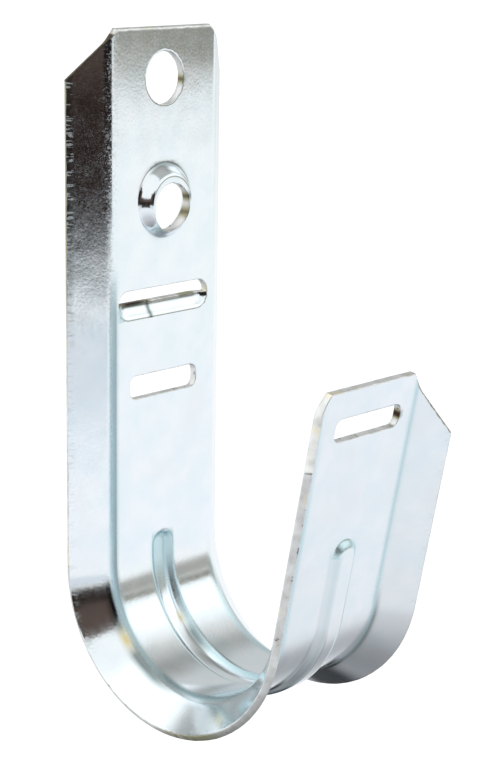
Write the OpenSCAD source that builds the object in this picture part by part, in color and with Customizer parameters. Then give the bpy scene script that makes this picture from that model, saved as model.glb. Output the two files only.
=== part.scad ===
// J hook for hanging a bundle of communication cables from a wall, beam or bracket.
// One strip of galvanised sheet, punched flat, pressed and then bent: a tall back leg,
// a half-round saddle and a short front leg that leans out. Both long edges are folded
// away from the cable all the way round, so that nothing sharp touches it.
// The origin is the centre of the top hole, in the plane of the web's back face.
// +Y points into the wall, +Z up, and X runs across the strip.

/* [Sheet] */
// Thickness of the sheet
sheet_t = 1.2; // [0.8:0.1:2]
// Flat width of the web, between its two folds
web_w = 19.8; // [18:0.1:30]

/* [Edge folds] */
// Angle that each long edge is folded through, away from the cable
fold_angle = 37.5; // [20:0.5:60]
// Inside radius of each fold
fold_r = 2.4; // [1:0.1:4]
// Straight width of the flange beyond its fold
flange_w = 5.5; // [3:0.1:9]

/* [Saddle] */
// Inside diameter of the cable saddle
saddle_d = 33.4; // [30:0.1:60]

/* [Back leg] */
// Height of the back leg above the centre of the saddle
back_l = 81; // [76:0.5:120]
// Width left of the back leg's top edge between its corner cuts
back_top_w = 19.8; // [12:0.1:22]
// Length of the corner cut on each side, down the back leg
back_corner_l = 7.4; // [3:0.1:12]

/* [Front leg] */
// Length of the front leg beyond the saddle
front_l = 37.6; // [30:0.1:60]
// Angle that the front leg leans out from the upright
front_lean = 11; // [0:0.5:20]
// Width left of the front leg's top edge between its corner cuts
front_top_w = 18.8; // [12:0.1:22]
// Length of the corner cut on each side, down the front leg
front_corner_l = 9; // [3:0.1:12]

/* [Top hole] */
// Diameter of the top hole
top_hole_d = 7.9; // [4:0.1:10]
// Distance from the top edge down to the top hole
top_hole_drop = 7.6; // [6:0.1:12]

/* [Raised boss] */
// Distance from the top edge down to the centre of the boss
boss_drop = 26; // [20:0.5:32]
// Diameter of the boss at its foot
boss_d = 11; // [10:0.1:14]
// Diameter of the boss at its crown
boss_crown_d = 8.4; // [8:0.1:9]
// Height that the boss stands out towards the cable
boss_h = 1.8; // [1:0.1:2.5]
// Diameter of the hole through the boss
boss_hole_d = 7.2; // [4:0.1:7.6]
// Distance from the centre of the boss down to its hole
boss_hole_off = 0.8; // [0:0.1:1]

/* [Louvre] */
// Distance from the top edge down to the lip of the louvre
louvre_drop = 41.1; // [38:0.1:46]
// Length of the louvre's mouth, across the web
louvre_w = 19.2; // [12:0.1:19.6]
// Height of the louvre's mouth, half of it open and half a scoop
louvre_h = 4.2; // [3:0.1:6]
// Depth that the scoop is pressed away from the cable
louvre_depth = 1; // [0.4:0.1:1.4]

/* [Tie slots] */
// Length of each cable-tie slot
tie_slot_w = 14.4; // [8:0.1:18]
// Height of each cable-tie slot
tie_slot_h = 3.5; // [2.6:0.1:5]
// Corner radius of each cable-tie slot
tie_slot_r = 1.2; // [0.5:0.1:1.2]
// Distance from the back leg's top edge down to its slot
back_slot_drop = 54; // [50:0.5:60]
// Distance from the front leg's top edge down to its slot
front_slot_drop = 6; // [4:0.1:10]

/* [Stiffening rib] */
// Width of the rib's groove on the cable side
rib_w = 4.6; // [3:0.1:6]
// Depth of the rib's groove
rib_depth = 1; // [0.5:0.1:1.4]
// Length of the rib on the back leg, from the saddle to its rounded tip
back_rib_l = 3.2; // [3.1:0.1:12]
// Length of the rib on the front leg, from the saddle to its rounded tip
front_rib_l = 13; // [4:0.5:20]

/* [Hidden] */
$fn = 96;
saddle_r = saddle_d / 2;
fold_outer_r = fold_r + sheet_t;
edge_x = web_w / 2 + fold_outer_r * sin(fold_angle) + flange_w * cos(fold_angle);
edge_depth = fold_outer_r * (1 - cos(fold_angle)) + flange_w * sin(fold_angle) + sheet_t;
// Radii of the pressing dies, from the width and depth of what they leave
rib_r = (pow(rib_w / 2, 2) + pow(rib_depth, 2)) / (2 * rib_depth);
scoop_r = (pow(louvre_h / 2, 2) + pow(louvre_depth, 2)) / (2 * louvre_depth);
// Radial run of the boss's cone, and its wall measured straight across
boss_run = (boss_d - boss_crown_d) / 2;
boss_wall = sheet_t * norm([boss_run, boss_h]) / boss_h;
// Each fold runs on into its flange by this angle, and the flange is set back to meet it
fold_past = 4;
fold_mid_r = fold_r + sheet_t / 2;
// The front leg laps into the saddle, a hair thinner on every face, to join as one solid
lap = 0.2;
hair = 0.01;

// Section of the folded strip, with each face set in. X runs across it, and its cable
// side is y = 0.
module strip_section(inset = 0) {
    translate([-web_w / 2, inset]) square([web_w, sheet_t - 2 * inset]);
    for (side = [0, 1]) mirror([side, 0]) translate([web_w / 2, fold_outer_r]) {
        intersection() {
            difference() {
                circle(r = fold_outer_r - inset);
                circle(r = fold_r + inset);
            }
            polygon([[0, 0], for (a = [0, fold_angle / 2, fold_angle + fold_past])
                2 * fold_outer_r * [sin(a), -cos(a)]]);
        }
        rotate(fold_angle) translate(fold_mid_r * [-sin(fold_past), 1 - cos(fold_past)])
            translate([0, inset - fold_outer_r])
                square([flange_w + fold_mid_r * sin(fold_past) - inset, sheet_t - 2 * inset]);
    }
}

// Section of the bead that the rib raises on the outer side, rooted in the sheet.
module bead_section(inset = 0) {
    intersection() {
        translate([0, rib_depth - rib_r]) circle(r = rib_r + sheet_t - inset);
        translate([-rib_w, sheet_t / 2]) square([2 * rib_w, rib_depth + sheet_t]);
    }
}

// One leg, standing on z = 0 with its cable side at y = 0. The rib runs up it from z = 0,
// and both top corners are cut off. Children are punched out of it.
module leg(leg_l, rib_l, top_w, corner_l, inset = 0) {
    tip_z = rib_l - rib_w / 2;
    difference() {
        union() {
            linear_extrude(leg_l) strip_section(inset);
            linear_extrude(tip_z) bead_section(inset);
            translate([0, 0, tip_z]) intersection() {
                translate([0, rib_depth - rib_r, 0]) sphere(r = rib_r + sheet_t - inset);
                translate([-rib_w, sheet_t / 2, 0]) cube([2, 1, 1] * 2 * rib_w);
            }
        }
        translate([0, rib_depth - rib_r, 0]) {
            cylinder(r = rib_r + inset, h = 2 * tip_z, center = true);
            translate([0, 0, tip_z]) sphere(r = rib_r + inset);
        }
        for (side = [0, 1]) mirror([side, 0, 0]) translate([0, 0, leg_l])
            corner_cut(top_w / 2, corner_l);
        children();
    }
}

// Cuts off one top corner, along a line from the top edge to the edge of the flange.
module corner_cut(top_x, corner_l) {
    top = [top_x, 0];
    run = [edge_x - top_x, -corner_l];
    translate([0, 2 * edge_depth, 0]) rotate([90, 0, 0]) linear_extrude(4 * edge_depth)
        polygon([top - run / 4, top + 5 / 4 * run, [edge_x + run[0] / 4, corner_l / 4]]);
}

// A tool that punches straight through the web, centred on y = 0.
module punch() {
    rotate([90, 0, 0]) linear_extrude(4 * edge_depth, center = true) children();
}

module tie_slot() {
    punch() {
        square([tie_slot_w, tie_slot_h - 2 * tie_slot_r], center = true);
        square([tie_slot_w - 2 * tie_slot_r, tie_slot_h], center = true);
        for (x = [-1, 1], y = [-1, 1])
            translate([x * (tie_slot_w / 2 - tie_slot_r), y * (tie_slot_h / 2 - tie_slot_r)])
                circle(r = tie_slot_r);
    }
}

// The scoop's die: a bar with round ends, lying across the web.
module scoop_bar(r) {
    half_l = (louvre_w - louvre_h) / 2;
    translate([0, louvre_depth - scoop_r, 0]) {
        rotate([0, 90, 0]) cylinder(r = r, h = 2 * half_l, center = true);
        for (x = [-half_l, half_l]) translate([x, 0, 0]) sphere(r = r);
    }
}

// Keeps the part of its children that is pressed out behind the web, below z = 0.
module louvre_lip() {
    intersection() {
        scoop_bar(scoop_r + sheet_t);
        translate([-louvre_w, sheet_t / 2, -2 * louvre_h]) cube([2, 1, 1] * 2 * louvre_h);
    }
}

module louvre_mouth() {
    scoop_bar(scoop_r);
    punch() intersection() {
        union() {
            square([louvre_w - louvre_h, louvre_h], center = true);
            for (x = [-1, 1]) translate([x * (louvre_w - louvre_h) / 2, 0])
                circle(d = louvre_h);
        }
        translate([-louvre_w, 0]) square(2 * louvre_w);
    }
}

// The boss, raised towards the cable, and what is pressed out of it from behind.
module boss_outside() {
    rotate([90, 0, 0]) {
        cylinder(d1 = boss_d, d2 = boss_crown_d, h = boss_h);
        translate([0, 0, -sheet_t / 2]) cylinder(d = boss_d, h = sheet_t / 2);
    }
}

module boss_inside() {
    foot_r = boss_d / 2 - boss_wall + boss_run * sheet_t / boss_h;
    translate([0, sheet_t, 0]) rotate([90, 0, 0])
        cylinder(r1 = foot_r, r2 = foot_r - boss_run, h = boss_h);
    translate([0, 0, -boss_hole_off]) punch() circle(d = boss_hole_d);
}

module back_leg() {
    difference() {
        union() {
            leg(back_l, back_rib_l, back_top_w, back_corner_l);
            translate([0, 0, back_l - boss_drop]) boss_outside();
            translate([0, 0, back_l - louvre_drop]) louvre_lip();
        }
        translate([0, 0, back_l - top_hole_drop]) punch() circle(d = top_hole_d);
        translate([0, 0, back_l - boss_drop]) boss_inside();
        translate([0, 0, back_l - louvre_drop]) louvre_mouth();
        translate([0, 0, back_l - back_slot_drop]) tie_slot();
    }
}

module front_leg() {
    translate([0, 0, -lap])
        leg(front_l + lap, front_rib_l + lap, front_top_w, front_corner_l, hair)
            translate([0, 0, front_l + lap - front_slot_drop]) tie_slot();
}

// The ribbed strip, turned about the saddle's axis from the back leg to the front leg.
module saddle() {
    rotate([-90, 0, 90]) rotate_extrude(angle = 180 - front_lean)
        translate([saddle_r, 0]) rotate(-90) difference() {
            union() {
                strip_section();
                bead_section();
            }
            translate([0, rib_depth - rib_r]) circle(r = rib_r);
        }
}

module hook() {
    color("lightsteelblue") translate([0, -sheet_t - saddle_r, top_hole_drop - back_l]) {
        translate([0, saddle_r, 0]) back_leg();
        saddle();
        rotate([front_lean, 0, 0]) translate([0, -saddle_r, 0]) mirror([0, 1, 0]) front_leg();
    }
}

hook();
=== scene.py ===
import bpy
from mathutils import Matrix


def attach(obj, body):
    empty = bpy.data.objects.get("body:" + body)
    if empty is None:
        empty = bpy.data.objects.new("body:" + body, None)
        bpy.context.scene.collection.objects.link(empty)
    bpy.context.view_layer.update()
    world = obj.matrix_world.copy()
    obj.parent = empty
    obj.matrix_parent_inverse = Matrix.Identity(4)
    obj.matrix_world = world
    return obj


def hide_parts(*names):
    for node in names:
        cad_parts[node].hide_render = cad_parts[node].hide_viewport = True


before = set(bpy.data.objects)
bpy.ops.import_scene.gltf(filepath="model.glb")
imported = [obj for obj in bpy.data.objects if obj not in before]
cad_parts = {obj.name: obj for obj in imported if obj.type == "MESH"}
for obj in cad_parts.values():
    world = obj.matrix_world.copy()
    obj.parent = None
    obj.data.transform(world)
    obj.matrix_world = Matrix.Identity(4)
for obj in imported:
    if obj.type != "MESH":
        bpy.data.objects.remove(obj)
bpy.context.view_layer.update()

import math

import bpy
import numpy as np
from mathutils import Matrix, Vector
from mathutils.geometry import delaunay_2d_cdt

# ------------------------------------------------------------------ the hook
# One strip of bright zinc-plated steel sheet, 1.2 mm thick. It is punched from a flat blank,
# pressed for its boss, louvre and rib, folded along both long edges and then bent into a J.
# Here it is made in the same order, in millimetres, and scaled to metres by the last step.
MM = 0.001
sheet_t = 1.2
web_w = 19.8
fold_angle, fold_r, flange_w = math.radians(37.5), 2.4, 5.5
saddle_r = 16.7
back_l, back_top_w, back_corner_l = 81, 19.8, 7.4
front_l, front_top_w, front_corner_l = 37.6, 18.8, 9
front_lean = math.radians(11)
top_hole_d, top_hole_drop = 7.9, 7.6
boss_drop, boss_d, boss_crown_d, boss_h = 26, 11, 8.4, 1.8
boss_hole_d, boss_hole_off = 7.2, 0.8
louvre_drop, louvre_w, louvre_h, louvre_depth = 41.1, 19.2, 4.2, 1
slot_w, slot_h, slot_r = 14.4, 3.5, 1.2
back_slot_drop, front_slot_drop = 54, 6
rib_w, rib_run, rib_depth, back_rib_l, front_rib_l = 4.6, 1.1, 1, 3.2, 13
edge_roll, top_roll = 0.14, 0.42    # radius that the punch leaves on its edges, and on the top one

web_half = web_w / 2
fold_mid_r = fold_r + sheet_t / 2
fold_outer_r = fold_r + sheet_t
fold_l = fold_mid_r * fold_angle
blank_half = web_half + fold_l + flange_w
bend_angle = math.pi - front_lean
bend_l = (saddle_r + sheet_t / 2) * bend_angle
blank_l = back_l + bend_l + front_l


def folded_x(off_middle):
    """Distance from the middle of the web, once folded, of a point that far off it when flat."""
    turned = np.clip(off_middle - web_half, 0, fold_l) / fold_mid_r
    return (np.minimum(off_middle, web_half) + fold_mid_r * np.sin(turned)
            + np.maximum(off_middle - web_half - fold_l, 0) * math.cos(fold_angle))


def spaced(corners, step=0.3):
    """A closed outline with its long sides divided into steps."""
    corners = np.asarray(corners, float)
    outline = []
    for a, b in zip(corners, np.roll(corners, -1, 0)):
        n = max(1, round(float(np.linalg.norm(b - a)) / step))
        outline += [a + (b - a) * i / n for i in range(n)]
    return np.array(outline)


def corner_line(top_w, corner_l):
    """Points down one slanted corner cut, as (distance across, distance down)."""
    edge_x = folded_x(np.array(blank_half))
    off_middle = np.linspace(top_w / 2, blank_half, 40)
    return [(a, corner_l * (x - top_w / 2) / (edge_x - top_w / 2))
            for a, x in zip(off_middle, folded_x(off_middle))]


def arc(cx, cy, r, start, end, n):
    """Points along an arc between two angles in degrees."""
    return [(cx + r * math.cos(a), cy + r * math.sin(a))
            for a in np.radians(np.linspace(start, end, n))]


def round_hole(drop, diameter):
    return np.array(arc(0, drop, diameter / 2, 0, 360, circle_steps + 1)[:-1])


def slot_outline(drop):
    x, y = slot_w / 2 - slot_r, slot_h / 2 - slot_r
    return spaced([p for cx, cy, a in ((x, y, 0), (-x, y, 90), (-x, -y, 180), (x, -y, 270))
                   for p in arc(cx, drop + cy, slot_r, a, a + 90, 9)])


# Outlines on the blank: x runs across it and y down it from the back leg's top edge.
circle_steps = 96
right_side = (corner_line(back_top_w, back_corner_l)
              + [(x, blank_l - drop)
                 for x, drop in reversed(corner_line(front_top_w, front_corner_l))])
outside = spaced(right_side + [(-x, y) for x, y in reversed(right_side)])
louvre_end = (louvre_w - louvre_h) / 2
holes = [
    round_hole(top_hole_drop, top_hole_d),
    round_hole(boss_drop + boss_hole_off, boss_hole_d),
    spaced(arc(-louvre_end, louvre_drop, louvre_h / 2, 180, 270, 13)
           + arc(louvre_end, louvre_drop, louvre_h / 2, 270, 360, 13)),
    slot_outline(back_slot_drop),
    slot_outline(blank_l - front_slot_drop),
]


def inwards(loop):
    """Unit steps from each point of a loop into the metal, drawn with the metal on its left."""
    ahead, behind = np.roll(loop, -1, 0) - loop, loop - np.roll(loop, 1, 0)
    ahead /= np.linalg.norm(ahead, axis=1)[:, None]
    behind /= np.linalg.norm(behind, axis=1)[:, None]
    a, b = (np.stack([-d[:, 1], d[:, 0]], 1) for d in (ahead, behind))
    return (a + b) / np.maximum(1 + (a * b).sum(1), 0.5)[:, None]


def turned_area(loop):
    """Twice the area of a loop, and less than nothing if it turns the other way round."""
    x, y = loop[:, 0], loop[:, 1]
    return float((x * np.roll(y, -1) - y * np.roll(x, -1)).sum())


loops = [outside if turned_area(outside) > 0 else outside[::-1]]
loops += [h if turned_area(h) < 0 else h[::-1] for h in holes]


def inside(points, loop):
    """True for each point that lies within the loop."""
    within = np.zeros(len(points), bool)
    x, y = points[:, 0], points[:, 1]
    for (x0, y0), (x1, y1) in zip(loop, np.roll(loop, -1, 0)):
        if y0 != y1:
            within ^= ((y0 > y) != (y1 > y)) & (x < (x1 - x0) * (y - y0) / (y1 - y0) + x0)
    return within


rng = np.random.default_rng(7)
ragged_by, least_roll, most_roll = 0.35, 0.5, 1.6    # shares of the edges' usual radius
top_roll_reach = 0.9


def uneven(loop):
    """Radius of the rolled edge at each point of a loop, a little ragged as punches leave it."""
    ragged = rng.normal(0, 1, len(loop))
    ragged = sum(np.roll(ragged, n) for n in (-1, 0, 1)) / 3
    at_top = np.clip(1 - loop[:, 1] / top_roll_reach, 0, 1)
    return (edge_roll * np.clip(1 + ragged_by * ragged, least_roll, most_roll)
            + (top_roll - edge_roll) * at_top)


rolls = [uneven(loop)[:, None] for loop in loops]
rims = [loop + inwards(loop) * roll for loop, roll in zip(loops, rolls)]


def in_metal(points):
    """True for each point inside the edges that are left flat once the rims roll over."""
    keep = inside(points, rims[0])
    for hole in rims[1:]:
        keep &= ~inside(points, hole)
    return keep


# The blank's grid: close columns at the rib's and the folds' edges, close rows at the presses.
grid_step, press_step, tip_step, least_step = 0.6, 0.2, 0.25, 0.12
fold_columns = 9
rib_columns = [0, 0.5, 0.9, 1.15, 1.4, 1.65, 1.9, 2.1, 2.3, 2.5, 2.7, 2.9, 3.1, 3.5]
boss_radii = (3.4, 3.6, 3.8, 4, 4.15, 4.3, 4.5, 4.75, 5, 5.25, 5.4, 5.55, 5.7, 5.9)
half_columns = np.unique(np.round(np.concatenate([
    rib_columns, np.arange(4, web_half - grid_step / 2, grid_step),
    web_half + np.linspace(0, fold_l, fold_columns),
    np.arange(web_half + fold_l, blank_half, grid_step)[1:],
]), 4))
columns = np.concatenate([-half_columns[:0:-1], half_columns])
rib_tips = (back_l - back_rib_l + rib_w / 2, back_l + bend_l + front_rib_l - rib_w / 2)
rows = np.unique(np.round(np.concatenate([
    np.arange(grid_step, blank_l, grid_step),
    np.arange(louvre_drop - 2.6, louvre_drop + 3, press_step),
    *(np.arange(tip - 3, tip + 3, tip_step) for tip in rib_tips),
]), 3))
rows = rows[np.concatenate([[True], np.diff(rows) > least_step])]
grid = np.stack(np.meshgrid(columns, rows), -1).reshape(-1, 2)
boss_gap = np.hypot(grid[:, 0], grid[:, 1] - boss_drop)
grid = grid[boss_gap > boss_d / 2 + 0.5]
turns = np.linspace(0, 2 * math.pi, circle_steps + 1)[:-1]
boss_rings = np.concatenate([
    np.stack([r * np.cos(turns), boss_drop + r * np.sin(turns)], 1) for r in boss_radii])
free = np.concatenate([grid, boss_rings])
free = free[in_metal(free)]

# Grid points too near an edge go, and a row of points beside each edge takes their place.
beside_edge, clear_of_edge, clear_of_top = edge_roll * 1.4, edge_roll * 2.4 + 0.15, top_roll + 0.4
all_edges = np.concatenate(loops)
clear = free[:, 1] > clear_of_top
batch = 2000    # points compared with the edges at a time, to save memory
for start in range(0, len(free), batch):
    part = free[start:start + batch]
    gap = np.hypot(part[:, None, 0] - all_edges[None, :, 0],
                   part[:, None, 1] - all_edges[None, :, 1]).min(1)
    clear[start:start + batch] &= gap > clear_of_edge
near = np.concatenate([loop + inwards(loop) * (roll + beside_edge)
                       for loop, roll in zip(loops, rolls)])
points = np.concatenate(rims + [near[in_metal(near)], free[clear]])
ring_edges, rim_count = [], 0
for rim in rims:
    ring_edges += [(rim_count + i, rim_count + (i + 1) % len(rim)) for i in range(len(rim))]
    rim_count += len(rim)
merge_gap = 1e-5
cut_points, _, cut_tris = delaunay_2d_cdt(
    [Vector(p) for p in points], ring_edges, [], 0, merge_gap)[:3]
flat = np.array([p[:] for p in cut_points])
tris = np.array(cut_tris)
tris = tris[in_metal(flat[tris].mean(1))]
# A rim point keeps its number, because no two rims touch.
assert len(flat) == len(points) and np.abs(flat[:rim_count] - points[:rim_count]).max() < 1e-4
area = np.cross(flat[tris[:, 1]] - flat[tris[:, 0]], flat[tris[:, 2]] - flat[tris[:, 0]])
tris[area < 0] = tris[area < 0][:, ::-1]


def soft_max(a, b, k):
    """The higher of two surfaces, with a small radius of about k where they meet."""
    return np.maximum(a, b) + np.maximum(k - np.abs(a - b), 0) ** 2 / (4 * k)


def dome(r, gap, depth):
    """Depth at a gap from the axis of a ball or bar of radius r, sunk to a depth."""
    return np.sqrt(np.maximum(r * r - gap * gap, 0)) + depth - r


rib_floor_r, rib_foot_r, scoop_foot_r, boss_r = 0.45, 0.22, 0.2, 0.5    # radii left by the press
boss_run = (boss_d - boss_crown_d) / 2
scoop_r = ((louvre_h / 2) ** 2 + louvre_depth ** 2) / (2 * louvre_depth)
out_of_reach = -5


def pressed(across, down, back):
    """Depth behind the cable face of either face of the sheet, once pressed."""
    wall = sheet_t if back else 0
    depth = np.full(len(across), float(wall))
    foot = rib_w / 2
    if back:
        foot += sheet_t * (math.hypot(rib_run, rib_depth) - rib_run) / rib_depth
    gap = np.hypot(across, np.maximum(rib_tips[0] - down, 0) + np.maximum(down - rib_tips[1], 0))
    rib = -soft_max(-rib_depth * (foot - gap) / rib_run,
                    np.full(len(across), -rib_depth), rib_floor_r)
    depth = soft_max(depth, rib + wall, rib_foot_r)
    gap = np.hypot(np.maximum(np.abs(across) - louvre_end, 0), down - louvre_drop)
    scoop = np.where((gap < scoop_r + wall) & (down > louvre_drop - 0.02),
                     dome(scoop_r + wall, gap, louvre_depth + wall), out_of_reach)
    depth = soft_max(depth, scoop, scoop_foot_r)
    foot = boss_d / 2
    if back:
        foot -= sheet_t * (math.hypot(boss_run, boss_h) - boss_run) / boss_h
    gap = np.hypot(across, down - boss_drop)
    cone = -soft_max(-boss_h * (foot - gap) / boss_run, np.full(len(across), -boss_h), boss_r)
    return depth - soft_max(cone, np.zeros(len(across)), boss_r) * (gap < foot + 1)


# Both faces and the rolled, sheared edge between them, as one closed sheet lying flat.
sheet = [np.column_stack([flat[:, 0], pressed(flat[:, 0], flat[:, 1], of_back), flat[:, 1]])
         for of_back in (False, True)]
faces = [tris, tris[:, ::-1] + len(flat)]
rim_in = np.concatenate(rims)
rim_out = np.concatenate([-inwards(loop) for loop in loops])
roll = np.concatenate(rolls)[:, 0]
back_roll = np.minimum(roll, edge_roll)
rim_next = np.concatenate([np.roll(np.arange(len(r)), -1) + n for r, n in
                           zip(rims, np.cumsum([0] + [len(r) for r in rims[:-1]]))])
low = pressed(rim_in[:, 0], rim_in[:, 1], False)
high = pressed(rim_in[:, 0], rim_in[:, 1], True)
ring_start, rings = 2 * len(flat), [np.arange(rim_count)]
# Each edge is a quarter round in steps of 30 degrees, on the cable side and then on the back.
for outward, depth, of_back in ((0.5, 0.134, 0), (0.866, 0.5, 0), (1, 1, 0),
                                (1, 1, 1), (0.866, 0.5, 1), (0.5, 0.134, 1)):
    place = rim_in + rim_out * (roll * outward)[:, None]
    level = high - depth * back_roll if of_back else low + depth * roll
    sheet.append(np.column_stack([place[:, 0], level, place[:, 1]]))
    rings.append(np.arange(rim_count) + ring_start)
    ring_start += rim_count
rings.append(np.arange(rim_count) + len(flat))
quads = [np.stack([a[rim_next], a, b, b[rim_next]], 1) for a, b in zip(rings, rings[1:])]
sheet = np.concatenate(sheet)
face_list = [tuple(int(i) for i in f) for f in np.concatenate(faces)]
face_list += [tuple(int(i) for i in f) for f in np.concatenate(quads)]
blank = bpy.data.meshes.new("blank")
blank.from_pydata(sheet.tolist(), [], face_list)
blank.polygons.foreach_set("use_smooth", [True] * len(face_list))

# Marks on the sheet, each from 0 to 1 at every point of the sheet, placed in millimetres across
# and down the blank. Where the steel was worked hard it is duller and painted with teal
# reflections;
# the darker marks are browning on the cut corners and painted shade and dark reflections at the
# folds, rib, louvre, boss and holes; the rest are stains and scrapes along the folds, presses and
# cut edges.
across, down = sheet[:, 0], sheet[:, 2]
off_middle = np.abs(across)
on_edge = np.zeros(len(sheet))
on_edge[:rim_count] = on_edge[len(flat):len(flat) + rim_count] = on_edge[2 * len(flat):] = 1


def near_to(value, centre, spread, power=2):
    """1 at a centre, fading to 0 on both sides over about the spread."""
    return np.exp(-((value - centre) / spread) ** power)


def ramp(value, start, length, least=0):
    """Rises from the least to 1 over a length past start, or falls to it if that is negative."""
    return np.clip((value - start) / length, least, 1)


def stretch(start, rise, end, fall):
    """1 down one stretch of the blank, rising after its start and falling before its end."""
    return ramp(down, start, rise) * ramp(down, end, -fall)


def spot(across_at, across_spread, down_at, down_spread):
    return near_to(across, across_at, across_spread) * near_to(down, down_at, down_spread)


from_boss = np.hypot(across, down - boss_drop)
on_lip = (np.abs(down - louvre_drop) < 0.5) & (off_middle < louvre_w / 2)
beside_fold = near_to(across, -web_half - 1.5, 0.6)
# Teal on the folds, rib and boss is painted reflection; the same mark also makes the steel duller.
dull_and_teal_reflection = np.maximum.reduce([
    # both folds, the left one further up than the right one
    near_to(off_middle, web_half + 0.5, 0.55)
    * np.where(across < 0, ramp(down, 34, 8) * ramp(down, 170, -20, 0.25), ramp(down, back_l, 12)),
    # the rib's sides, its floor near the back tip, and the rim of the front tip
    near_to(off_middle, rib_w / 2 - 0.3, 0.5) * stretch(rib_tips[0] - 2, 2, rib_tips[1] + 2, 2)
    * ramp(down, 122, -8, 0.35),
    0.9 * (off_middle < rib_w / 2) * stretch(rib_tips[0] - 2.5, 1, rib_tips[0] + 9, 5),
    near_to(np.hypot(off_middle, down - rib_tips[1]), 2.2, 0.7) * (down > rib_tips[1]),
    # the lower left of the boss, and the left end of the louvre
    near_to(np.hypot(across + 1.6, down - boss_drop - 3.8), 0.2, 0.9),
    near_to(across, 0.5 - louvre_w / 2, 0.5) * (np.abs(down - louvre_drop - 1) < 1.5),
])
# Browning on the cut corners, and painted shade and dark reflections at the folds, rib, louvre,
# boss and holes.
browned_and_shaded = np.maximum.reduce([
    # the corner cuts, browned by the punch
    on_edge * (across < -back_top_w / 2 - 0.6) * (down < back_corner_l + 0.2)
    * rng.uniform(0.85, 1, len(down)),
    on_edge * (across > front_top_w / 2 + 0.6) * (down > blank_l - front_corner_l)
    * rng.uniform(0.2, 0.9, len(down)),
    # a thin painted dark reflection down the left fold, and painted dark reflection streaks beside
    # it round the saddle
    0.5 * near_to(across, -web_half - 0.3, 0.22) * stretch(36, 6, 100, 10),
    0.95 * beside_fold * stretch(83, 3, 93, 2),
    0.95 * beside_fold * stretch(94, 2, 106, 5),
    0.6 * near_to(across, -web_half - 0.4, 0.5) * stretch(100, 3, 124, 3),
    # a painted dark reflection along the top of the left flange
    0.45 * ramp(across, 1.3 - blank_half, -0.3) * ramp(down, 48, -16),
    # a darker patch on the left flange under the saddle, and darker stretches of the cut edge
    # beside it
    (0.2 + 0.3 * near_to(down, 114, 2.8)) * ramp(across, -web_half - 1.2, -1.2)
    * stretch(105.5, 3, 121, 5),
    on_edge * (across < 0) * near_to(down, 111, 4, 4) * rng.uniform(0, 0.9, len(down)),
    # painted shade in the rib's groove and down the right side of its front end
    0.9 * near_to(across, 1.6, 0.6) * stretch(93.5, 2, 100.5, 3),
    0.4 * near_to(across, 2.75, 0.2) * stretch(128, 6, rib_tips[1] + 0.5, 1),
    # painted shadow along the louvre's lip, and a dark vertical mark in its scoop
    on_lip * np.clip(1.5 - np.abs(across + 5.6) / 2.6, 0, 1) ** 0.5,
    on_lip * 0.5 * (np.abs(across - 6) < 1.7),
    near_to(across, -2.7, 0.42) * (np.abs(down - louvre_drop - 1.2) < 1.2),
    # painted shade and dark reflection on the boss: the wall of its hole, the top of its foot and
    # its lower left
    spot(3.6, 0.7, boss_drop - 0.6, 0.7),
    0.8 * spot(3.4, 0.5, boss_drop + 1.9, 0.8),
    0.9 * near_to(from_boss, boss_d / 2 + 0.15, 0.45) * near_to(down, boss_drop - boss_d / 2, 0.8),
    0.4 * near_to(np.hypot(across + 1.4, down - boss_drop - 4.2), 0, 1.1),
    # painted shade on the right fold round the saddle
    0.75 * near_to(across, web_half + 1.2, 0.5) * stretch(110, 8, 135, 5),
    # darker at the right ends of the front slot and of the top hole
    near_to(across, slot_w / 2, 0.5) * near_to(down, blank_l - front_slot_drop, 0.7, 4),
    0.85 * spot(3.9, 0.5, top_hole_drop + 0.4, 0.6),
])
for mark, amount in (
        ("scuffed", ramp(off_middle, blank_half - 1.3, 0.3) * ramp(down, 48, -16, 0.4)),
        ("crazed", np.clip(1.4 - np.abs(off_middle - web_half - fold_l / 2) / (fold_l / 2), 0, 1)
         * np.where(across < 0, ramp(down, 44, -8, 0.1) + 0.4 * (np.abs(down - 92) < 9), 0)),
        ("gilded", np.maximum(beside_fold * near_to(down, 93.2, 1.6),
                              0.8 * spot(1.1, 0.45, 92.6, 1))),
        ("browned_and_shaded", browned_and_shaded), ("dull_and_teal_reflection", dull_and_teal_reflection)):
    blank.attributes.new(mark, "FLOAT", "POINT").data.foreach_set(
        "value", amount.astype(np.float32))
sheared = blank.attributes.new("sheared", "BOOLEAN", "FACE")
sheared.data.foreach_set("value", [n >= 2 * len(tris) for n in range(len(face_list))])
blank.update()
strip = bpy.data.objects.new("hook_strip", blank)
scene = bpy.context.scene
scene.collection.objects.link(strip)

# The press brake: a tree that folds both long edges and then bends the strip round the saddle.
brake = bpy.data.node_groups.new("fold_and_bend", "GeometryNodeTree")
brake.interface.new_socket("Geometry", in_out="INPUT", socket_type="NodeSocketGeometry")
brake_sizes = {
    "Web half width": web_half, "Fold middle radius": fold_mid_r,
    "Fold outer radius": fold_outer_r, "Fold length": fold_l, "Saddle radius": saddle_r,
    "Bend middle radius": saddle_r + sheet_t / 2, "Bend length": bend_l, "Back leg": back_l,
    "Origin drop": top_hole_drop, "Sheet": sheet_t, "Scale": MM,
}
brake_sockets = {name: brake.interface.new_socket(name, in_out="INPUT",
                                                  socket_type="NodeSocketFloat")
                 for name in brake_sizes}
for name in ("Plated", "Sheared"):
    brake_sockets[name] = brake.interface.new_socket(name, in_out="INPUT",
                                                     socket_type="NodeSocketMaterial")
brake.interface.new_socket("Geometry", in_out="OUTPUT", socket_type="NodeSocketGeometry")
given = brake.nodes.new("NodeGroupInput").outputs


def calc(tree, operation, *values):
    """Adds one math node to a tree and returns its result."""
    node = tree.nodes.new("ShaderNodeMath")
    node.operation = operation
    for socket, value in zip(node.inputs, values):
        if isinstance(value, (int, float)):
            socket.default_value = value
        else:
            tree.links.new(value, socket)
    return node.outputs[0]


def on_brake(operation, *values):
    return calc(brake, operation, *values)


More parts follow.
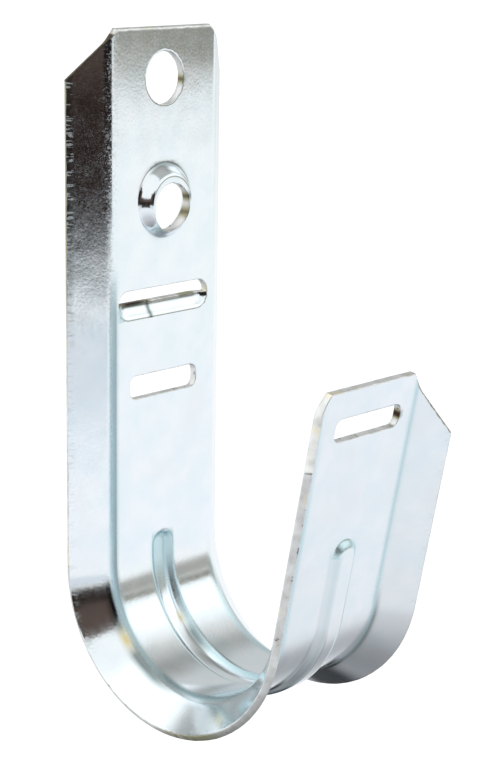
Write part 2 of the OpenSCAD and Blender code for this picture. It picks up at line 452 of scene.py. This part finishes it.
where = brake.nodes.new("GeometryNodeInputPosition")
parts = brake.nodes.new("ShaderNodeSeparateXYZ")
brake.links.new(where.outputs[0], parts.inputs[0])
flat_across, flat_depth, flat_down = parts.outputs
half = on_brake("ABSOLUTE", flat_across)
past_web = on_brake("SUBTRACT", half, given["Web half width"])
in_fold = on_brake("MINIMUM", on_brake("MAXIMUM", past_web, 0.0), given["Fold length"])
fold_turn = on_brake("DIVIDE", in_fold, given["Fold middle radius"])
flange = on_brake("MAXIMUM", on_brake("SUBTRACT", past_web, given["Fold length"]), 0.0)
fold_reach = on_brake("SUBTRACT", given["Fold outer radius"], flat_depth)
folded = on_brake("ADD", on_brake("MINIMUM", half, given["Web half width"]),
                  on_brake("ADD", on_brake("MULTIPLY", fold_reach, on_brake("SINE", fold_turn)),
                           on_brake("MULTIPLY", flange, on_brake("COSINE", fold_turn))))
drawn_in = on_brake("MULTIPLY", fold_reach, on_brake("COSINE", fold_turn))
behind = on_brake("ADD", on_brake("SUBTRACT", given["Fold outer radius"], drawn_in),
                  on_brake("MULTIPLY", flange, on_brake("SINE", fold_turn)))
past_back = on_brake("SUBTRACT", flat_down, given["Back leg"])
in_bend = on_brake("MINIMUM", on_brake("MAXIMUM", past_back, 0.0), given["Bend length"])
bend_turn = on_brake("DIVIDE", in_bend, given["Bend middle radius"])
above = on_brake("MAXIMUM", on_brake("MULTIPLY", past_back, -1.0), 0.0)
up_front = on_brake("MAXIMUM", on_brake("SUBTRACT", past_back, given["Bend length"]), 0.0)
reach = on_brake("ADD", given["Saddle radius"], behind)
level_y = on_brake("SUBTRACT", on_brake("MULTIPLY", reach, on_brake("COSINE", bend_turn)),
                   on_brake("MULTIPLY", up_front, on_brake("SINE", bend_turn)))
out_y = on_brake("SUBTRACT", level_y, on_brake("ADD", given["Sheet"], given["Saddle radius"]))
sunk_z = on_brake("ADD", on_brake("MULTIPLY", reach, on_brake("SINE", bend_turn)),
                  on_brake("MULTIPLY", up_front, on_brake("COSINE", bend_turn)))
out_z = on_brake("ADD", on_brake("SUBTRACT", above, sunk_z),
                 on_brake("SUBTRACT", given["Origin drop"], given["Back leg"]))
out_x = on_brake("MULTIPLY", folded, on_brake("SIGN", flat_across))
joined = brake.nodes.new("ShaderNodeCombineXYZ")
for socket, value in zip(joined.inputs, (out_x, out_y, out_z)):
    brake.links.new(on_brake("MULTIPLY", value, given["Scale"]), socket)
moved = brake.nodes.new("GeometryNodeSetPosition")
brake.links.new(given["Geometry"], moved.inputs["Geometry"])
brake.links.new(joined.outputs[0], moved.inputs["Position"])
realized = brake.nodes.new("GeometryNodeRealizeInstances")
brake.links.new(moved.outputs[0], realized.inputs[0])
plated = brake.nodes.new("GeometryNodeSetMaterial")
brake.links.new(realized.outputs[0], plated.inputs["Geometry"])
brake.links.new(given["Plated"], plated.inputs["Material"])
cut = brake.nodes.new("GeometryNodeSetMaterial")
is_cut = brake.nodes.new("GeometryNodeInputNamedAttribute")
is_cut.data_type = "BOOLEAN"
is_cut.inputs["Name"].default_value = "sheared"
brake.links.new(plated.outputs[0], cut.inputs["Geometry"])
brake.links.new(is_cut.outputs["Attribute"], cut.inputs["Selection"])
brake.links.new(given["Sheared"], cut.inputs["Material"])
result = brake.nodes.new("NodeGroupOutput")
brake.links.new(cut.outputs[0], result.inputs[0])

# Bright zinc: bluish, with a faint cloud and a fine grain, and painted teal reflections where the
# sheet was worked.
# The sheared edges are duller, with dark and burnished stretches left by the punch, and olive and
# brown where they are browned or carry painted shade.
zinc = bpy.data.materials.new("bright_zinc")
zinc_blue, zinc_pale, zinc_grey = (0.86, 0.925, 0.965), (0.925, 0.955, 0.985), (0.895, 0.91, 0.935)
# painted teal reflection, grey for browning and painted shade, and a gold stain
painted_teal_reflection, browned_and_shade_grey, stain_gold = (0.56, 0.78, 0.83), (0.2, 0.25, 0.25), (0.72, 0.6, 0.3)
sheared_zinc = bpy.data.materials.new("sheared_edge")
cut_bright, cut_dull, cut_straw = (0.90, 0.90, 0.89), (0.60, 0.59, 0.57), (0.87, 0.82, 0.68)
cut_dark, cut_olive, cut_brown = (0.22, 0.18, 0.15), (0.40, 0.38, 0.25), (0.05, 0.026, 0.018)


def cloud(tree, size, low, high, detail=2, squeeze=(1, 1, 1)):
    """Noise with features of that size in metres, spread from 0 to 1 between two levels."""
    place = tree.nodes.new("ShaderNodeTexCoord")
    mapping = tree.nodes.new("ShaderNodeMapping")
    mapping.inputs["Scale"].default_value = squeeze
    noise = tree.nodes.new("ShaderNodeTexNoise")
    noise.inputs["Scale"].default_value = 1 / size
    noise.inputs["Detail"].default_value = detail
    spread = tree.nodes.new("ShaderNodeMapRange")
    spread.inputs["From Min"].default_value = low
    spread.inputs["From Max"].default_value = high
    tree.links.new(place.outputs["Object"], mapping.inputs["Vector"])
    tree.links.new(mapping.outputs[0], noise.inputs["Vector"])
    tree.links.new(noise.outputs[0], spread.inputs["Value"])
    return spread.outputs[0]


def blend(tree, amount, first, second):
    """Mixes two colours, each a socket or three numbers, by an amount from 0 to 1."""
    node = tree.nodes.new("ShaderNodeMix")
    node.data_type = "RGBA"
    for socket, value in zip((node.inputs[0], node.inputs[6], node.inputs[7]),
                             (amount, first, second)):
        if isinstance(value, (int, float)):
            socket.default_value = value
        elif isinstance(value, tuple):
            socket.default_value = (*value, 1)
        else:
            tree.links.new(value, socket)
    return node.outputs[2]


def grain(tree, bumps, height, under=None):
    """Raises a pattern of bumps to a height in metres, over any that are there already."""
    node = tree.nodes.new("ShaderNodeBump")
    node.inputs["Strength"].default_value = 1
    node.inputs["Distance"].default_value = height
    tree.links.new(bumps, node.inputs["Height"])
    if under is not None:
        tree.links.new(under, node.inputs["Normal"])
    return node.outputs[0]


def marked(tree, mark):
    """Amount of one of the sheet's marks, from 0 to 1."""
    node = tree.nodes.new("ShaderNodeAttribute")
    node.attribute_name = mark
    return node.outputs["Fac"]


zinc.use_nodes = True
tree, shader = zinc.node_tree, zinc.node_tree.nodes["Principled BSDF"]
dull_and_teal_here = marked(tree, "dull_and_teal_reflection")
colour = blend(tree, cloud(tree, 0.004, 0.35, 0.65), zinc_blue, zinc_pale)
colour = blend(tree, cloud(tree, 0.011, 0.55, 0.8), colour, zinc_grey)
# painted teal reflection where the sheet was worked
colour = blend(tree, calc(tree, "MULTIPLY", dull_and_teal_here, 0.75), colour, painted_teal_reflection)
# browning on the cut corners, and painted shade and dark reflections
colour = blend(tree, marked(tree, "browned_and_shaded"), colour, browned_and_shade_grey)
colour = blend(tree, marked(tree, "gilded"), colour, stain_gold)
tree.links.new(colour, shader.inputs["Base Color"])
shader.inputs["Metallic"].default_value = 1
scrapes = cloud(tree, 0.0005, 0.56, 0.63, 1, (0.25, 0.25, 1.3))
specks = cloud(tree, 0.00035, 0.52, 0.66)
rough = calc(tree, "MULTIPLY_ADD", cloud(tree, 0.003, 0.3, 0.7), 0.04, 0.10)
for pattern, amount in (
        (cloud(tree, 0.0004, 0.4, 0.75), 0.055),
        (calc(tree, "MULTIPLY", scrapes, marked(tree, "scuffed")), 0.32),
        (calc(tree, "MULTIPLY", specks, marked(tree, "crazed")), 0.16),
        (dull_and_teal_here, 0.22)):
    rough = calc(tree, "MULTIPLY_ADD", pattern, amount, rough)
tree.links.new(rough, shader.inputs["Roughness"])
bumps = grain(tree, cloud(tree, 0.006, 0, 1, 1), 0.00003)
bumps = grain(tree, cloud(tree, 0.00045, 0, 1, 1), 0.0000045, bumps)
tree.links.new(bumps, shader.inputs["Normal"])

sheared_zinc.use_nodes = True
tree, shader = sheared_zinc.node_tree, sheared_zinc.node_tree.nodes["Principled BSDF"]
# Olive and brown: browning at the corner cuts, and painted shade at the louvre lip and the boss.
browned_and_shade_here = marked(tree, "browned_and_shaded")
olive = calc(tree, "MINIMUM", calc(tree, "MULTIPLY", browned_and_shade_here, 2.0), 1.0)
brown = calc(tree, "MAXIMUM", calc(tree, "MULTIPLY_ADD", browned_and_shade_here, 2.2, -1.2), 0.0)
colour = blend(tree, cloud(tree, 0.0022, 0.35, 0.75), cut_bright, cut_dull)
colour = blend(tree, cloud(tree, 0.0045, 0.6, 0.7), colour, cut_straw)
colour = blend(tree, cloud(tree, 0.0011, 0.66, 0.74), colour, cut_dark)
colour = blend(tree, olive, colour, cut_olive)
colour = blend(tree, brown, colour, cut_brown)
tree.links.new(colour, shader.inputs["Base Color"])
shader.inputs["Metallic"].default_value = 1
shader.inputs["Roughness"].default_value = 0.36
bumps = grain(tree, cloud(tree, 0.0007, 0, 1, 1), 0.00002)
tree.links.new(bumps, shader.inputs["Normal"])

bending = strip.modifiers.new("fold_and_bend", "NODES")
bending.node_group = brake
for name, value in brake_sizes.items():
    bending[brake_sockets[name].identifier] = float(value)
bending[brake_sockets["Plated"].identifier] = zinc
bending[brake_sockets["Sheared"].identifier] = sheared_zinc
bpy.context.view_layer.update()
bent = bpy.data.meshes.new_from_object(
    strip.evaluated_get(bpy.context.evaluated_depsgraph_get()))
strip.modifiers.clear()
strip.data = bent
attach(strip, "root")
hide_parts("hook")

# ------------------------------------------------------------------ camera
# It stands in front of the hook and to its left, a little above the top hole, and looks down
# at the saddle with a long lens.
view_from = Vector((-0.2213, -0.2164, 0.02595))
turn, dip, roll = (math.radians(angle) for angle in (48.28, 13.41, 0.86))
look = Vector((math.sin(turn) * math.cos(dip), math.cos(turn) * math.cos(dip), -math.sin(dip)))
right = Vector((math.cos(turn), -math.sin(turn), 0))
up = right.cross(look)
right, up = (right * math.cos(roll) + up * math.sin(roll),
             up * math.cos(roll) - right * math.sin(roll))
camera = bpy.data.objects.new("camera", bpy.data.cameras.new("camera"))
camera.data.sensor_width, camera.data.lens = 36, 94.8923
aim = Matrix((right, up, -look)).transposed().to_4x4()
camera.matrix_world = Matrix.Translation(view_from) @ aim
camera.data.clip_start, camera.data.clip_end = 0.01, 20
scene.collection.objects.link(camera)
scene.camera = camera

# ---------------------------------------------------------------- floor and light
# A plain white floor, far enough below for the hook to hang free, inside a white cloth tent.
# The tent has an open doorway and darker parts, because bright zinc shows what it mirrors.
floor_drop, floor_half = 0.3, 9
floor = bpy.data.objects.new("floor", bpy.data.meshes.new("floor"))
floor.data.from_pydata(
    [(x * floor_half, y * floor_half, -floor_drop)
     for x, y in ((-1, -1), (1, -1), (1, 1), (-1, 1))], [], [(0, 1, 2, 3)])
scene.collection.objects.link(floor)
white = bpy.data.materials.new("white_floor")
white.use_nodes = True
shader = white.node_tree.nodes["Principled BSDF"]
shader.inputs["Base Color"].default_value = (0.8, 0.8, 0.8, 1)
shader.inputs["Roughness"].default_value = 1
shader.inputs["Specular IOR Level"].default_value = 0
shader.inputs["Emission Color"].default_value = (1, 1, 1, 1)
shader.inputs["Emission Strength"].default_value = 0.42
floor.data.materials.append(white)
floor.visible_glossy = False

world = bpy.data.worlds.new("tent")
scene.world = world
world.use_nodes = True
tent = world.node_tree


def in_tent(operation, *values):
    return calc(tent, operation, *values)


def soft_step(value, start, end):
    """0 before start, 1 past end, and smooth between them."""
    node = tent.nodes.new("ShaderNodeMapRange")
    node.interpolation_type = "SMOOTHSTEP"
    for socket, given_value in zip(node.inputs[:3], (value, start, end)):
        if isinstance(given_value, (int, float)):
            socket.default_value = given_value
        else:
            tent.links.new(given_value, socket)
    return node.outputs[0]


def between(value, low, high, blur):
    """1 from low to high and 0 elsewhere, with both ends blurred."""
    past_high = soft_step(value, high - blur, high + blur)
    return in_tent("MULTIPLY", soft_step(value, low - blur, low + blur),
                   in_tent("SUBTRACT", 1.0, past_high))


# Each direction in the tent has a height above the horizon and a bearing, both in degrees.
# Seen from above, bearings run clockwise from +Y, and north does too, from -180 to 180.
way = tent.nodes.new("ShaderNodeTexCoord")
split = tent.nodes.new("ShaderNodeSeparateXYZ")
tent.links.new(way.outputs["Generated"], split.inputs[0])
north = in_tent("DEGREES", in_tent("ARCTAN2", split.outputs[0], split.outputs[1]))
bearing = in_tent("MODULO", in_tent("ADD", north, 360.0), 360.0)
rise = in_tent("MINIMUM", in_tent("MAXIMUM", split.outputs[2], -1.0), 1.0)
height = in_tent("DEGREES", in_tent("ARCSINE", rise))
roof = in_tent("SUBTRACT", height, in_tent("MULTIPLY", soft_step(bearing, 108, 150), 8.0))

# The darker parts of the cloth, each with how much of the light it takes away.
gap = in_tent("MULTIPLY", between(height, -3, 8, 3), between(bearing, 108, 262, 14))
ceiling = in_tent("MULTIPLY", between(roof, 44, 80, 6), between(bearing, 40, 182, 8))
side = in_tent("MULTIPLY", between(bearing, 28, 92, 12), soft_step(height, -12, 4))
behind_hook = in_tent("MULTIPLY", between(north, -18, 30, 6), between(height, 2, 45, 5))
under = in_tent("MULTIPLY", between(height, -72, -40, 7), between(bearing, 22, 66, 9))
front = in_tent("MULTIPLY", between(height, -62, -41, 4), between(bearing, 62, 128, 14))
light = 1.0
for dark_part, taken in ((gap, 0.6), (ceiling, 0.52), (side, 0.38), (behind_hook, 0.45),
                         (under, 0.9), (front, 0.4)):
    passed_on = in_tent("SUBTRACT", 1.0, in_tent("MULTIPLY", dark_part, taken))
    light = in_tent("MULTIPLY", light, passed_on)

# Two lamps behind the cloth, one on each side.
right_lamp = in_tent("MULTIPLY", between(height, 17, 36, 5), between(bearing, 96, 166, 10))
left_lamp = in_tent("MULTIPLY", soft_step(height, 36, 46), between(bearing, 244, 352, 9))
lamp_gain = 0.25
lamps = in_tent("MAXIMUM", right_lamp, left_lamp)
light = in_tent("MULTIPLY", light, in_tent("MULTIPLY_ADD", lamps, lamp_gain, 1.0))

# The cloth's own grey, from straight down at 0 to the horizon at 1, slightly blue lower down.
blue_below, blue_gain, red_gain = 0.82, 1.035, 0.97
below = tent.nodes.new("ShaderNodeValToRGB")
tent.links.new(in_tent("DIVIDE", in_tent("ADD", height, 90.0), 90.0), below.inputs[0])
stops = [(0, 0.25), (0.14, 0.3), (0.27, 0.42), (0.38, 0.56), (0.5, 0.65), (0.57, 0.78),
         (0.66, 0.9), (0.8, 0.97), (0.9, 1)]
while len(below.color_ramp.elements) < len(stops):
    below.color_ramp.elements.new(0.5)
for element, (place, grey) in zip(below.color_ramp.elements, stops):
    blue = blue_gain if place < blue_below else 1
    element.position, element.color = place, (grey * red_gain, grey, grey * blue, 1)
plain_white, warm_white = (1.0, 1.0, 1.0), (1.0, 0.965, 0.89)
warmth = in_tent("MAXIMUM", gap, in_tent("MULTIPLY", ceiling, 0.5))
tinted = tent.nodes.new("ShaderNodeVectorMath")
tinted.operation = "MULTIPLY"
tent.links.new(below.outputs[0], tinted.inputs[0])
tent.links.new(blend(tent, warmth, plain_white, warm_white), tinted.inputs[1])
shaded = tent.nodes.new("ShaderNodeVectorMath")
shaded.operation = "SCALE"
tent.links.new(tinted.outputs[0], shaded.inputs[0])
tent.links.new(light, shaded.inputs["Scale"])
direct = tent.nodes.new("ShaderNodeLightPath").outputs["Is Camera Ray"]
tent.links.new(blend(tent, direct, shaded.outputs[0], plain_white),
               tent.nodes["Background"].inputs["Color"])
tent.nodes["Background"].inputs["Strength"].default_value = 1

# Flat cards close to the hook: the tent's dark doorway beside the camera in four parts, and a
# grey seam in the cloth to its right. Seen from the hook, each outline's points are (metres to
# the right, metres up).
card_distance = 0.34
doorway_bearing, seam_bearing = 213, 133
step_z, sill_z, rail_z, lintel_z = -0.137, -0.088, -0.0255, 0.117
for name, bearing_out, glow, outline in (
        ("doorway", doorway_bearing, (0.017, 0.009, 0.0065),
         ((-0.21, sill_z), (0.12, sill_z), (0.14, -0.142), (0.26, -0.142), (0.26, rail_z),
          (-0.21, rail_z))),
        ("doorway_top", doorway_bearing, (0.085, 0.058, 0.048),
         ((-0.03, rail_z), (0.26, rail_z), (0.24, 0.02), (0.10, 0.04), (0.08, lintel_z),
          (-0.03, lintel_z))),
        ("doorway_post", doorway_bearing, (0.004, 0.003, 0.003),
         ((-0.34, sill_z), (-0.21, sill_z), (-0.21, rail_z), (-0.03, rail_z), (-0.03, lintel_z),
          (-0.18, lintel_z), (-0.22, 0.03), (-0.34, 0.01))),
        ("doorway_step", doorway_bearing, (0.7, 0.76, 0.82),
         ((-0.12, step_z), (0.12, step_z), (0.12, -0.104), (-0.12, -0.104))),
        ("tent_seam", seam_bearing, (0.27, 0.26, 0.22),
         ((-0.17, -0.0285), (0.17, -0.0285), (0.17, 0.0), (-0.17, 0.0)))):
    out, aside = math.radians(bearing_out), math.radians(bearing_out + 90)
    card = bpy.data.objects.new(name, bpy.data.meshes.new(name))
    card.data.from_pydata(
        [(card_distance * math.sin(out) + x * math.sin(aside),
          card_distance * math.cos(out) + x * math.cos(aside), z) for x, z in outline],
        [], [tuple(range(len(outline)))])
    cloth = bpy.data.materials.new(name)
    cloth.use_nodes = True
    shader = cloth.node_tree.nodes["Principled BSDF"]
    shader.inputs["Base Color"].default_value = (0, 0, 0, 1)
    shader.inputs["Roughness"].default_value = 1
    shader.inputs["Specular IOR Level"].default_value = 0
    shader.inputs["Emission Color"].default_value = (*glow, 1)
    shader.inputs["Emission Strength"].default_value = 1
    card.data.materials.append(cloth)
    scene.collection.objects.link(card)
    card.visible_camera = card.visible_shadow = card.visible_diffuse = False
scene.view_settings.view_transform = "Standard"
